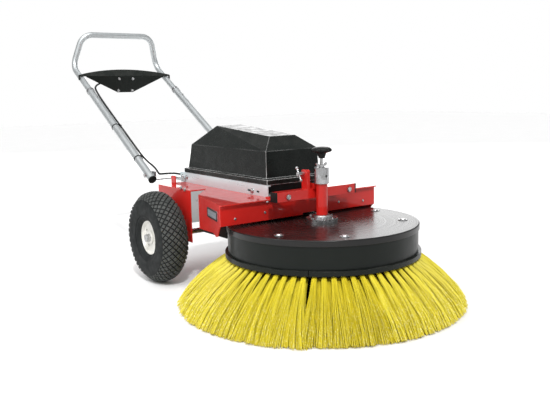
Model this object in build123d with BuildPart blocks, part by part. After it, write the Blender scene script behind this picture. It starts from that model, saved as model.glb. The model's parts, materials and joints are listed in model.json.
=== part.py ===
from build123d import *
import os
from math import atan2, cos, pi, radians, sin, tan

# Walk-behind sweeper: a flat disc brush in front, two wheels behind it, a bent
# push handle at the back. Millimetres. +Z up, +Y towards the operator, X across.
# The origin is on the ground, under the middle of the machine's outline.

os.makedirs("parts", exist_ok=True)

# ---------------------------------------------------------------- driving sizes
brush_y = -542.1          # spindle axis
bumper_y = brush_y + 94   # front face of the bumper
cross_y = brush_y + 35    # centre of the cross tube
tray_front = brush_y + 118
hood_front = brush_y + 148
disc_back = brush_y + 305
box_front = brush_y + 435
axle_y = brush_y + 553
hood_back = brush_y + 645
tray_back = brush_y + 690
box_back = brush_y + 671
pivot_y = brush_y + 780   # handle pivot
bend_y = brush_y + 1514   # where the handle turns up
grip_y = brush_y + 1476   # the handle's grip bar

tip_r = 433.0             # bristle tips on the ground
disc_r = 299.0
disc_top = 256.0
lid_z = 238.0             # under the disc plate
drum_z = 171.0            # under the drum wall
lip_z = 157.0             # under the segments' backing
segments = 3
seam_angle = -137.0       # first joint between brush segments
bolt_circle_r = 250.0
bolt_offset = 22.0        # bolts each side of a seam, degrees

wheel_r = 161.0
wheel_x = 296.0           # middle of each tyre
tyre_w = 98.0
rim_r = 60.0
axle_r = 10.0

deck_z = 325.0            # underside of the red deck sheet
sheet = 4.0
bumper_half = 314.0
bumper_low = 263.0
deck_lip = 10.0           # deck sheet in front of the bumper
box_half = 225.0          # axle box, half its width
web_x = 150.0             # chassis webs
cross_half = 156.0        # half the cross tube
tray_half, tray_z, tray_top = 122.0, 329.0, 366.0
hood_half, shoulder_z = 108.0, 471.0
roof_half, roof_front_z, roof_back_z = 52.0, 514.0, 540.0

tube_r = 13.0             # handle loop
lower_r = 15.0            # lower handle tubes
handle_half = 208.0
grip_half = 168.0         # half the grip bar, corner to corner
pivot_z, bend_z, grip_z = 353.0, 790.0, 929.0
sleeve_r, sleeve_bore_r = 18.0, 15.06
post_r = 15.0
journal_r = 17.5
fit = 0.05                # radial running clearance
gap = 0.3                 # clearance between separate bodies

slope = atan2(bend_z - pivot_z, bend_y - pivot_y)   # rise of the handle tubes


def box(x0, x1, y0, y1, z0, z1, mode=Mode.ADD):
    """Block between two corners, inside the part being built."""
    with Locations(((x0 + x1) / 2, (y0 + y1) / 2, (z0 + z1) / 2)):
        Box(x1 - x0, y1 - y0, z1 - z0, mode=mode)


def ring(x, y, z0, z1, r_out, r_in=0.0):
    """Upright round bar or ring, inside the part being built."""
    with BuildSketch(Plane((x, y, z0))) as section:
        Circle(r_out)
        if r_in:
            Circle(r_in, mode=Mode.SUBTRACT)
    extrude(section.sketch, amount=z1 - z0)


def rod(start, direction, length, r_out, r_in=0.0, mode=Mode.ADD):
    """Round bar or ring from a point along a direction."""
    with BuildSketch(Plane(start, z_dir=direction)) as section:
        Circle(r_out)
        if r_in:
            Circle(r_in, mode=Mode.SUBTRACT)
    extrude(section.sketch, amount=length, mode=mode)


def polar(radius, angle):
    """Point on a circle about the spindle axis."""
    return radius * cos(radians(angle)), brush_y + radius * sin(radians(angle))


def on_handle(x, distance, lift=0.0):
    """Point that far up the handle from its pivot, lifted square to the tube."""
    y = pivot_y + distance * cos(slope) - lift * sin(slope)
    return x, y, pivot_z + distance * sin(slope) + lift * cos(slope)


def save(part, name):
    part.label = name
    export_step(part, "parts/" + name + ".step")


# ---------------------------------------------------------------- brush head
bearing_r, bearing_z = 36.0, 18.0
bolt_spots = [seam_angle + 360 / segments * i + side * bolt_offset
              for i in range(segments) for side in (-1, 1)]
neck_top, neck_r = 276.0, 31.0
flange_r, flange_t = 50.0, 11.0
flange_bolt_r = 45.0

with BuildPart() as brush_disc:
    ring(0, brush_y, lid_z, disc_top, disc_r, bearing_r + 4)
    fillet(brush_disc.edges().group_by(Axis.Z)[-1].sort_by(SortBy.LENGTH)[-1:], 3)
    for angle in bolt_spots:
        with Locations((*polar(bolt_circle_r, angle), disc_top)):
            Hole(4.3)
save(brush_disc.part, "brush_disc")

with BuildPart() as brush_drum:
    ring(0, brush_y, drum_z, lid_z, disc_r - 3, disc_r - 9)
    ring(0, brush_y, drum_z, drum_z + 5, disc_r - 3, 225)
    for angle in bolt_spots:
        with Locations((*polar(bolt_circle_r, angle), lid_z)):
            Hole(4.3)
save(brush_drum.part, "brush_drum")

with BuildPart() as segment_blank:
    ring(0, brush_y, lip_z, drum_z, disc_r + 6, 245)
    for angle in bolt_spots:
        with Locations((*polar(bolt_circle_r, angle), drum_z)):
            Hole(4.3)
with BuildPart() as bristle_blank:
    with BuildSketch(Plane((0, brush_y, 0), x_dir=(1, 0, 0), z_dir=(0, -1, 0))):
        with BuildLine():
            Polyline((258, lip_z), (disc_r - 1, lip_z), (tip_r, 24), (tip_r - 4, 8),
                     (tip_r - 15, 0), (350, 0), (258, lip_z))
        make_face()
    revolve(axis=Axis((0, brush_y, 0), (0, 0, 1)))

wedge_gap = 1.0
backings = []
for number in range(segments):
    first = seam_angle + 360 / segments * number
    for blank in (segment_blank, bristle_blank):
        reach = 2 * tip_r
        with BuildPart() as piece:
            add(blank.part)
            with BuildSketch(Plane((0, brush_y, -10))):
                with BuildLine():
                    angles = (first, first + 60, first + 120)
                    corner = [(reach * cos(radians(a)), reach * sin(radians(a)))
                              for a in angles]
                    Polyline((0, 0), corner[0], corner[1], corner[2], (0, 0))
                make_face()
                offset(amount=-wedge_gap, kind=Kind.INTERSECTION)
            extrude(amount=disc_top, mode=Mode.INTERSECT)
        if blank is segment_blank:
            backings += piece.part.solids()
        else:
            save(piece.part, f"bristles_{number + 1}")
save(Compound(backings), "segment_backings")

with BuildPart() as disc_bolts:
    for angle in bolt_spots:
        x, y = polar(bolt_circle_r, angle)
        with BuildSketch(Plane((x, y, disc_top))):
            Circle(11)
        extrude(amount=4, taper=35)
        ring(x, y, lip_z + 4, disc_top, 4.2)
    for angle in (10, 100, 190, 280):
        x, y = polar(flange_bolt_r, angle)
        with BuildSketch(Plane((x, y, disc_top + flange_t))):
            RegularPolygon(4.7, 6)
        extrude(amount=4)
save(disc_bolts.part, "disc_bolts")

with BuildPart() as hub_flange:
    ring(0, brush_y, disc_top, disc_top + flange_t, flange_r, bearing_r)
    ring(0, brush_y, disc_top + flange_t, neck_top, neck_r, journal_r + 1)
    chamfer(hub_flange.edges().group_by(Axis.Z)[-1].sort_by(SortBy.LENGTH)[-1:], 4)
save(hub_flange.part, "hub_flange")

with BuildPart() as hub_bearing:
    ring(0, brush_y, disc_top - bearing_z + flange_t, disc_top + flange_t,
         bearing_r, journal_r + fit)
save(hub_bearing.part, "hub_bearing")

# ---------------------------------------------------------------- spindle and height adjuster
sleeve_low, sleeve_top = 236.0, 374.0
collar_top = 424.0
stem_r = 5.0
post_low, post_top = 142.0, 398.0
knob_z = 468.0

with BuildPart() as spindle_sleeve:
    ring(0, brush_y, neck_top + 1.5, sleeve_top, sleeve_r, sleeve_bore_r)
    ring(0, brush_y, sleeve_low, neck_top + 1.5, journal_r, sleeve_bore_r)
save(spindle_sleeve.part, "spindle_sleeve")

with BuildPart() as clamp_collar:
    ring(0, brush_y, sleeve_top, collar_top, 23, sleeve_bore_r)
    ring(0, brush_y, collar_top - 5, collar_top, 23, stem_r + fit)
    rod((0, brush_y - 30, 398), (0, 1, 0), 14, 4, mode=Mode.SUBTRACT)
save(clamp_collar.part, "clamp_collar")

with BuildPart() as adjuster_spindle:
    ring(0, brush_y, 318, knob_z - 2, stem_r)
    ring(0, brush_y, collar_top - 12, collar_top - 5.3, 12)
save(adjuster_spindle.part, "adjuster_spindle")

with BuildPart() as star_knob:
    with BuildSketch(Plane((0, brush_y, knob_z))):
        Circle(28)
        with PolarLocations(27, 7):
            Circle(7)
    extrude(amount=19)
    fillet(star_knob.edges().filter_by(GeomType.CIRCLE).group_by(Axis.Z)[-1], 4)
    with BuildSketch(Plane((0, brush_y, knob_z))):
        Circle(15)
    extrude(amount=-16, taper=16)
    with BuildSketch(Plane((0, brush_y, knob_z - 16))):
        Circle(stem_r)
    extrude(amount=14, mode=Mode.SUBTRACT)
save(star_knob.part, "star_knob")

with BuildPart() as wing_nut:
    ring(0, brush_y, collar_top + gap, collar_top + 9, 9, stem_r + fit)
    for side in (-1, 1):
        wing_plane = Plane((0, brush_y + 2 * side, collar_top), x_dir=(side, 0, 0),
                           z_dir=(0, -side, 0))
        with BuildSketch(wing_plane):
            with BuildLine():
                Polyline((8, 1), (8, 8), (17, 15), (22, 12), (20, 7), (8, 1))
            make_face()
        extrude(amount=4)
save(wing_nut.part, "wing_nut")

# Support castor inside the drum.
castor_r, castor_w, trail = 55.0, 34.0, 34.0
castor_z = castor_r + 2
fork_top = post_low - 1

with BuildPart() as castor_post:
    ring(0, brush_y, post_low, post_top, post_r)
    ring(0, brush_y, post_low, post_low + 12, 26)
    with Locations((0, brush_y, post_top)):
        Hole(stem_r + fit, depth=125)
    ring(0, brush_y, post_low - 16, post_low, 8)
save(castor_post.part, "castor_post")

with BuildPart() as castor_fork:
    ring(0, brush_y, fork_top - 14, fork_top, 24, 8 + fit)
    box(-27, 27, brush_y - 22, brush_y + trail + 14, fork_top - 20, fork_top - 14)
    for side in (-1, 1):
        with BuildSketch(Plane((side * 27, brush_y, 0), z_dir=(-side, 0, 0), x_dir=(0, 1, 0))):
            with BuildLine():
                up = -side
                Polyline((-22, up * (fork_top - 14)), (trail + 14, up * (fork_top - 14)),
                         (trail + 14, up * (castor_z - 14)), (trail - 14, up * (castor_z - 14)),
                         (-22, up * (fork_top - 14)))
            make_face()
        extrude(amount=5)
    rod((-40, brush_y + trail, castor_z), (1, 0, 0), 80, 6.1, mode=Mode.SUBTRACT)
    with Locations((0, brush_y, fork_top)):
        Hole(8 + fit)
save(castor_fork.part, "castor_fork")

with BuildPart() as castor_axle:
    rod((-27, brush_y + trail, castor_z), (1, 0, 0), 54, 6)
    for x, way in ((-27, -1), (27, 1)):
        with BuildSketch(Plane((x, brush_y + trail, castor_z), z_dir=(way, 0, 0))):
            RegularPolygon(10, 6)
        extrude(amount=6)
save(castor_axle.part, "castor_axle")

with BuildPart() as castor_tyre:
    rod((-castor_w / 2, brush_y + trail, castor_z), (1, 0, 0), castor_w, castor_r, 38)
    fillet(castor_tyre.faces().filter_by(GeomType.CYLINDER).sort_by(Axis.Z)[-1].edges()
           .filter_by(GeomType.CIRCLE), 8)
save(castor_tyre.part, "castor_tyre")

with BuildPart() as castor_hub:
    rod((-castor_w / 2 + 2, brush_y + trail, castor_z), (1, 0, 0), castor_w - 4, 38, 6 + fit)
    for side in (-1, 1):
        rod((side * (castor_w / 2 - 2), brush_y + trail, castor_z), (side, 0, 0),
            5.5, 12, 6 + fit)
save(castor_hub.part, "castor_hub")

# ---------------------------------------------------------------- chassis
roller_r, roller_w, roller_y = 30.0, 30.0, brush_y + 201
roller_z = disc_top + roller_r + gap
motor_y0 = disc_back + 22
guard_back_y, guard_back_x = brush_y + 327, 253.0
web_low = 216.0
lug_x = 178.0
bracket_x = -35.0         # upright that carries the wing screw
screw_y, screw_z = cross_y + 4, 404.0
bracket_top = 417.0
stud_x, stud_z = 46.0, 376.0   # capped stud on the cross tube
lip_nut_r = 4.2

with BuildPart() as front_deck:
    with BuildSketch(Plane.XY.offset(deck_z)):
        with BuildLine():
            Polyline((-bumper_half, bumper_y - deck_lip), (-bumper_half, bumper_y + 3),
                     (-guard_back_x, guard_back_y), (-web_x - 10, box_front),
                     (web_x + 10, box_front), (guard_back_x, guard_back_y),
                     (bumper_half, bumper_y + 3), (bumper_half, bumper_y - deck_lip),
                     (-bumper_half, bumper_y - deck_lip))
        make_face()
    extrude(amount=sheet)
save(front_deck.part, "front_deck")

notch_left, notch_right, notch_rise = -2.0, 56.0, 6.0
with BuildPart() as front_bumper:
    box(-bumper_half, bumper_half, bumper_y, bumper_y + 3, bumper_low, deck_z)
    box(notch_left, notch_right, bumper_y - 1, bumper_y + 4, bumper_low - 1,
        bumper_low + notch_rise, Mode.SUBTRACT)
    box(-bumper_half + 12, bumper_half - 12, bumper_y + 3, bumper_y + 22, bumper_low,
        bumper_low + 3)
    box(notch_left - 3, notch_right + 3, bumper_y + 2.9, bumper_y + 23, bumper_low - 1,
        bumper_low + 4, Mode.SUBTRACT)
save(front_bumper.part, "front_bumper")

guard_length = ((bumper_half - guard_back_x) ** 2 + (guard_back_y - bumper_y - 3) ** 2) ** 0.5
with BuildPart() as side_guards:
    start = Vector(-bumper_half, bumper_y + 4.2, 0)
    along = Vector(bumper_half - guard_back_x, guard_back_y - bumper_y - 4.2, 0).normalized()
    with BuildSketch(Plane(start, x_dir=along, z_dir=along.cross(Vector(0, 0, 1)))):
        with BuildLine():
            Polyline((0, deck_z), (0, bumper_low), (26, 228), (44, 224), (70, 232),
                     (guard_length, 216), (guard_length, deck_z), (0, deck_z))
        make_face()
    extrude(amount=3)
    mirror(about=Plane.YZ)
save(side_guards.part, "side_guards")

with BuildPart() as name_plate:
    middle = start + along * 75
    plate_at = Vector(middle.X, middle.Y, 290)
    with BuildSketch(Plane(plate_at, x_dir=along, z_dir=-along.cross(Vector(0, 0, 1)))):
        RectangleRounded(108, 30, 3)
    extrude(amount=1.2)
save(name_plate.part, "name_plate")

with BuildPart() as chassis_webs:
    box(web_x - sheet, web_x, bumper_y + 26, box_front - 0.1, web_low, deck_z)
    with BuildSketch(Plane.YZ.offset(web_x - sheet - 1)):
        with BuildLine():
            Polyline((bumper_y + 20, web_low - 1), (bumper_y + 20, bumper_low + 2),
                     (disc_back + 4, bumper_low + 2), (disc_back + 18, web_low - 1),
                     (bumper_y + 20, web_low - 1))
        make_face()
    extrude(amount=sheet + 2, mode=Mode.SUBTRACT)
    rod((web_x - 10, box_front - 24, 240), (1, 0, 0), 20, 4, mode=Mode.SUBTRACT)
    mirror(about=Plane.YZ)
    box(-web_x + sheet, web_x - sheet, motor_y0 + 44, motor_y0 + 50, web_low + 1, deck_z - 1)
    with BuildSketch(Plane((0, motor_y0 + 43, roller_z - 20), z_dir=(0, 1, 0))):
        Circle(42)
    extrude(amount=8, mode=Mode.SUBTRACT)
save(chassis_webs.part, "chassis_webs")

with BuildPart() as axle_box:
    box(-box_half, box_half, box_front, box_back, 147, tray_z)
    box(-box_half + sheet, box_half - sheet, box_front - 1, box_back + 1, 140,
        tray_z - sheet, Mode.SUBTRACT)
    rod((-box_half - 5, axle_y, wheel_r), (1, 0, 0), 2 * box_half + 10, axle_r + 0.1,
        mode=Mode.SUBTRACT)
    for side in (-1, 1):
        with BuildSketch(Plane.YZ.offset(side * lug_x - 2.5)):
            with Locations((box_back - 32, tray_z + 15)):
                RectangleRounded(28, 32, 9)
            with Locations((box_back - 32, tray_z + 5)):
                Rectangle(28, 10)
        extrude(amount=5)
save(axle_box.part, "axle_box")

with BuildPart() as cover_plate:
    box(-box_half + sheet + 0.1, box_half - sheet - 0.1, box_front + 0.1, box_front + 3,
        web_low + 0.5, tray_z - sheet - 0.1)
    rod((0, box_front - 1, roller_z - 20), (0, 1, 0), 6, 45, mode=Mode.SUBTRACT)
save(cover_plate.part, "cover_plate")

with BuildPart() as cross_tube:
    box(-cross_half, cross_half, cross_y - 15, cross_y + 15, deck_z + 2, deck_z + 32)
    box(-cross_half - 1, cross_half + 1, cross_y - 12.5, cross_y + 12.5, deck_z + 4.5,
        deck_z + 29.5, Mode.SUBTRACT)
    for side in (-1, 1):
        box(side * 116 - 15, side * 116 + 15, cross_y + 15, tray_front - 1, deck_z + 4,
            deck_z + 8)
        box(side * 116 - 15, side * 116 + 15, cross_y + 15, cross_y + 19, deck_z + 8,
            deck_z + 30)
        a, b = sorted((side * 14, side * 20))
        box(a, b, brush_y + 14, cross_y + 15, deck_z + 32, sleeve_top)
    ring(stud_x, cross_y, deck_z + 32, stud_z, 4)
    with BuildSketch(Plane.YZ.offset(bracket_x - 5)):
        with Locations((cross_y, (deck_z + 32 + bracket_top) / 2)):
            RectangleRounded(30, bracket_top - deck_z - 32, 6)
        with Locations((cross_y, deck_z + 42)):
            Rectangle(30, 20)
    extrude(amount=10)
    rod((bracket_x - 10, screw_y, screw_z), (1, 0, 0), 20, 4 + fit, mode=Mode.SUBTRACT)
    with Locations((0, brush_y, 340)):
        Cylinder(sleeve_r, 200, mode=Mode.SUBTRACT)
save(cross_tube.part, "cross_tube")

with BuildPart() as cross_tube_caps:
    for side in (-1, 1):
        a, b = sorted((side * cross_half, side * (cross_half + 5)))
        box(a, b, cross_y - 15, cross_y + 15, deck_z + 2, deck_z + 32)
    with BuildSketch(Plane((stud_x, cross_y, stud_z))):
        Circle(6.5)
    extrude(amount=12, taper=6)
save(cross_tube_caps.part, "cross_tube_caps")

with BuildPart() as cross_bolts:
    for x in (-116, 130):
        with BuildSketch(Plane((x, cross_y - 15, deck_z + 16), z_dir=(0, -1, 0))):
            RegularPolygon(8.5, 6)
        extrude(amount=5)
        rod((x, cross_y - 20, deck_z + 16), (0, -1, 0), 1.5, 6)
    for x in (-145, -100, 100, 145):
        with BuildSketch(Plane((x, bumper_y - 0.6 - lip_nut_r, deck_z), z_dir=(0, 0, -1))):
            RegularPolygon(lip_nut_r, 6)
        extrude(amount=5)
save(cross_bolts.part, "cross_bolts")

with BuildPart() as wing_screw:
    hub = Vector(bracket_x - 5 - gap, screw_y, screw_z)
    rod(hub, (-1, 0, 0), 24, 6.5)
    rod(hub, (1, 0, 0), 18, 4)
    for way in (-1, 1):
        wing = Vector(0, 0.48 * way, 0.88 * way)
        foot = hub + Vector(-18, 0, 0)
        rod(foot + wing * 4, wing, 16, 3)
        with Locations(foot + wing * 21):
            Sphere(5.2)
save(wing_screw.part, "wing_screw")

# ---------------------------------------------------------------- brush drive
pan_low = 168.0

with BuildPart() as belly_pan:
    box(-web_x, web_x, disc_back + 20, box_front + 60, pan_low, web_low)
    box(-web_x + 3, web_x - 3, disc_back + 23, box_front + 57, pan_low + 3, web_low + 1,
        Mode.SUBTRACT)
save(belly_pan.part, "belly_pan")

with BuildPart() as gear_motor:
    rod((0, motor_y0 + 40, roller_z - 20), (0, 1, 0), 110, 42)
    box(-44, 44, motor_y0, motor_y0 + 40, roller_z - 64, roller_z + 30)
    fillet(gear_motor.edges().filter_by(Axis.Y), 6)
    rod((0, motor_y0 - 6, roller_z), (0, 1, 0), 46, 8 + fit, mode=Mode.SUBTRACT)
save(gear_motor.part, "gear_motor")

with BuildPart() as roller_shaft:
    rod((0, roller_y - 22, roller_z), (0, 1, 0), motor_y0 + 30 - roller_y + 22, 8)
save(roller_shaft.part, "roller_shaft")
with BuildPart() as drive_roller:
    rod((0, roller_y - roller_w / 2, roller_z), (0, 1, 0), roller_w, roller_r, 8)
    chamfer(drive_roller.faces().filter_by(GeomType.CYLINDER).sort_by(SortBy.AREA)[-1]
            .edges().filter_by(GeomType.CIRCLE), 2)
save(drive_roller.part, "drive_roller")

# ---------------------------------------------------------------- battery tray and hood
with BuildPart() as battery_tray:
    box(-tray_half, tray_half, tray_front, tray_back, tray_z, tray_z + 3)
    for side in (-1, 1):
        a, b = sorted((side * (tray_half - 3), side * tray_half))
        box(a, b, tray_front, tray_back, tray_z, tray_top)
        c, d = sorted((side * (tray_half - 12), side * tray_half))
        box(c, d, tray_front, tray_back, tray_top - 3, tray_top)
    for y in (tray_front + 56, tray_front + 107):
        with BuildSketch(Plane.YZ.offset(-tray_half - 5)):
            with Locations((y, tray_z + 13)):
                SlotOverall(16, 7)
        extrude(amount=2 * tray_half + 10, mode=Mode.SUBTRACT)
save(battery_tray.part, "battery_tray")

with BuildPart() as battery_pack:
    for y in (hood_front + 20, hood_front + 222):
        box(-85, 85, y, y + 195, tray_z + 3, 448)
        for x in (-55, 55):
            ring(x, y + 30, 448, 456, 8)
    fillet(battery_pack.edges().filter_by(Axis.Z).group_by(SortBy.LENGTH)[-1], 5)
save(battery_pack.part, "battery_pack")

with BuildPart() as motor_controller:
    box(-60, 60, hood_front + 427, hood_front + 470, tray_z + 3, 420)
    for x in range(-50, 51, 20):
        box(x - 2, x + 2, hood_front + 470, hood_front + 478, tray_z + 8, 415)
save(motor_controller.part, "motor_controller")


def hood_solid(inset, low):
    """Skirt and faceted roof of the hood as one block, drawn in by a wall's depth."""
    walls = [(low, hood_half - inset, hood_front - 6 + inset, hood_back + 8 - inset),
             (shoulder_z - inset / 3, hood_half - 3 - inset, hood_front + inset,
              hood_back - 5 - inset)]
    with BuildPart() as block:
        with BuildSketch(Plane.XY.offset(walls[0][0])):
            with Locations((0, (walls[0][2] + walls[0][3]) / 2)):
                Rectangle(2 * walls[0][1], walls[0][3] - walls[0][2])
        with BuildSketch(Plane.XY.offset(walls[1][0])):
            with Locations((0, (walls[1][2] + walls[1][3]) / 2)):
                Rectangle(2 * walls[1][1], walls[1][3] - walls[1][2])
        loft(ruled=True)
        top_front = hood_front + 52
        top_back = hood_front + 380
        lean = atan2(roof_back_z - roof_front_z, top_back - top_front)
        with BuildSketch(Plane.XY.offset(walls[1][0])):
            with Locations((0, (walls[1][2] + walls[1][3]) / 2)):
                Rectangle(2 * walls[1][1], walls[1][3] - walls[1][2])
        middle_top = (0, (top_front + top_back) / 2, (roof_front_z + roof_back_z) / 2 - inset)
        with BuildSketch(Plane(middle_top, x_dir=(1, 0, 0), z_dir=(0, -sin(lean), cos(lean)))):
            Rectangle(2 * roof_half - inset, (top_back - top_front) / cos(lean) - inset)
        loft(ruled=True)
    return block.part


with BuildPart() as hood:
    add(hood_solid(0, 384))
    box(-hood_half - 13, hood_half + 13, hood_front - 26, hood_back + 14, tray_top + gap, 385)
    fillet(hood.edges().filter_by(Axis.Z).group_by(SortBy.LENGTH)[0], 6)
    add(hood_solid(4, 383), mode=Mode.SUBTRACT)
    box(-hood_half + 4, hood_half - 4, hood_front - 2, hood_back + 4, 360, 386, Mode.SUBTRACT)
save(hood.part, "hood")

hinge_y, hinge_z = hood_back + 26, 374.0
with BuildPart() as hood_hinge_leaf:
    for x in (-70, 70):
        box(x - 14, x + 14, hood_back + 14, hinge_y - 5, 368, 372)
        rod((x - 14, hinge_y, hinge_z), (1, 0, 0), 28, 7)
        box(x - 14, x + 14, hinge_y - 9, hinge_y, 368, 372)
        rod((x - 20, hinge_y, hinge_z), (1, 0, 0), 40, 4 + fit, mode=Mode.SUBTRACT)
save(hood_hinge_leaf.part, "hood_hinge_leaf")

with BuildPart() as hinge_brackets:
    for x in (-70, 70):
        for side in (-1, 1):
            a, b = sorted((x + side * 14.4, x + side * 18.4))
            with BuildSketch(Plane.YZ.offset(a)):
                with BuildLine():
                    Polyline((hinge_y - 12, tray_z + 3), (hinge_y + 8, tray_z + 3),
                             (hinge_y + 8, hinge_z + 4), (hinge_y - 2, hinge_z + 9),
                             (hinge_y - 8, hinge_z + 4), (hinge_y - 12, tray_z + 3))
                make_face()
            extrude(amount=b - a)
            rod((a - 1, hinge_y, hinge_z), (1, 0, 0), 7, 4, mode=Mode.SUBTRACT)
    for x in (-70, 70):
        rod((x - 22, hinge_y, hinge_z), (1, 0, 0), 44, 4)
        rod((x - 24, hinge_y, hinge_z), (1, 0, 0), 3, 7)
save(hinge_brackets.part, "hinge_brackets")

# ---------------------------------------------------------------- wheels
with BuildPart() as axle:
    rod((-wheel_x - 36, axle_y, wheel_r), (1, 0, 0), 2 * (wheel_x + 36), axle_r)
save(axle.part, "axle")

with BuildPart() as axle_collars:
    for side in (-1, 1):
        rod((side * box_half, axle_y, wheel_r), (side, 0, 0), 16, 18, axle_r)
        x = side * (wheel_x + 33)
        rod((x, axle_y, wheel_r), (side, 0, 0), 9, 13, axle_r)
        rod((x + side * 3.5, axle_y, wheel_r), (side, 0, 0), 10, 13)
save(axle_collars.part, "axle_collars")

web_out = 23.0            # rim's web, out from the middle of the wheel

for side, word in ((-1, "left"), (1, "right")):
    centre = (side * wheel_x, axle_y, wheel_r)
    half = tyre_w / 2
    with BuildPart() as tyre:
        with BuildSketch(Plane(centre, x_dir=(1, 0, 0), z_dir=(0, -1, 0))):
            with BuildLine():
                outline = [(-half + 14, rim_r), (-half + 3, rim_r + 28),
                           (-half, rim_r + 60), (-half + 12, wheel_r - 14),
                           (-half + 26, wheel_r - 3), (0, wheel_r)]
                Spline(*outline, *[(-x, z) for x, z in outline[-2::-1]])
                Line(outline[0], (-outline[0][0], rim_r))
            make_face()
            with BuildLine():
                inner = [(-24, rim_r - 1), (-half + 13, rim_r + 30), (-half + 12, rim_r + 58),
                         (-half + 20, wheel_r - 20), (0, wheel_r - 14)]
                Spline(*inner, *[(-x, z) for x, z in inner[-2::-1]])
                Line(inner[0], (24, rim_r - 1))
            make_face(mode=Mode.SUBTRACT)
        revolve(axis=Axis(centre, (1, 0, 0)))
    save(tyre.part, f"tyre_{word}")
    with BuildPart() as rim:
        with BuildSketch(Plane(centre, x_dir=(1, 0, 0), z_dir=(0, -1, 0))):
            with BuildLine():
                Polyline((-34, rim_r), (34, rim_r), (34, rim_r - 4), (side * web_out + 2.5, rim_r - 8),
                         (side * web_out + 2.5, 22), (33, 22), (33, 14), (-33, 14), (-33, 22),
                         (side * web_out - 2.5, 22), (side * web_out - 2.5, rim_r - 8), (-34, rim_r - 4),
                         (-34, rim_r))
            make_face()
        revolve(axis=Axis(centre, (1, 0, 0)))
        for turn in range(4):
            spot = Vector(0, 38 * cos(turn * pi / 2 + 0.6), 38 * sin(turn * pi / 2 + 0.6))
            rod(Vector(centre) + spot - Vector(40, 0, 0), (1, 0, 0), 80, 5, mode=Mode.SUBTRACT)
    with BuildPart() as bushes:
        for way in (-1, 1):
            rod(Vector(centre) + Vector(way * 32.7, 0, 0), (-way, 0, 0), 18, 14, axle_r + fit)
    save(Compound(rim.part.solids() + bushes.part.solids()), f"rim_{word}")

# ---------------------------------------------------------------- handle
low_end = -28.0           # lower tubes start this far below the pivot
joint_at = 639.0          # loop plugs into the lower tubes here
bend_at = (bend_y - pivot_y) / cos(slope)

with BuildPart() as lower_tubes:
    rod(on_handle(handle_half, low_end), (0, cos(slope), sin(slope)),
        joint_at - low_end, lower_r, tube_r)
    rod((handle_half - 30, pivot_y, pivot_z), (1, 0, 0), 60, 5 + fit, mode=Mode.SUBTRACT)
    mirror(about=Plane.YZ)
save(lower_tubes.part, "lower_tubes")

with BuildPart() as handle_end_caps:
    for side in (-1, 1):
        rod(on_handle(side * handle_half, low_end - 5), (0, cos(slope), sin(slope)), 5,
            lower_r + 1)
save(handle_end_caps.part, "handle_end_caps")

top_point = (grip_y, grip_z)
with BuildPart() as handle_loop:
    with BuildLine() as loop_path:
        left = [on_handle(-handle_half, joint_at - 60), on_handle(-handle_half, bend_at),
                (-grip_half, *top_point)]
        FilletPolyline(*left, *[(-x, y, z) for x, y, z in reversed(left)], radius=60)
    with BuildSketch(Plane(left[0], z_dir=(0, cos(slope), sin(slope)))):
        Circle(tube_r)
        Circle(tube_r - 2, mode=Mode.SUBTRACT)
    sweep(path=loop_path.line)
save(handle_loop.part, "handle_loop")

with BuildPart() as tube_clamps:
    for side in (-1, 1):
        rod(on_handle(side * handle_half, joint_at - 16), (0, cos(slope), sin(slope)), 12,
            lower_r + 2, lower_r)
        for step in (joint_at - 80, joint_at - 45):
            pin_start = Vector(*on_handle(side * handle_half, step, lower_r))
            rod(pin_start, (0, -sin(slope), cos(slope)), 4, 4)
save(tube_clamps.part, "tube_clamps")

with BuildPart() as handle_brackets:
    for side in (-1, 1):
        a, b = sorted((side * (handle_half - 20), side * (handle_half - 16)))
        box(a, b, pivot_y - 20, pivot_y + 16, tray_z + 4, tray_top)
        c, d = sorted((side * tray_half, side * (handle_half - 16)))
        box(c, d, pivot_y - 20, pivot_y + 16, tray_z + 4, tray_z + 8)
        e, f = sorted((side * tray_half, side * (tray_half + 4)))
        box(e, f, tray_back - 40, pivot_y - 20, tray_z + 4, tray_z + 16)
        rod((side * (handle_half - 30), pivot_y, pivot_z), (side, 0, 0), 20, 5,
            mode=Mode.SUBTRACT)
save(handle_brackets.part, "handle_brackets")

with BuildPart() as pivot_bolts:
    for side in (-1, 1):
        inner_end = side * (handle_half - 22)
        rod((inner_end, pivot_y, pivot_z), (side, 0, 0), 43, 5)
        for x, way in ((side * (handle_half - 20), -side), (side * (handle_half + 15.4), side)):
            with BuildSketch(Plane((x, pivot_y, pivot_z), z_dir=(way, 0, 0))):
                RegularPolygon(9, 6)
            extrude(amount=6)
save(pivot_bolts.part, "pivot_bolts")

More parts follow.
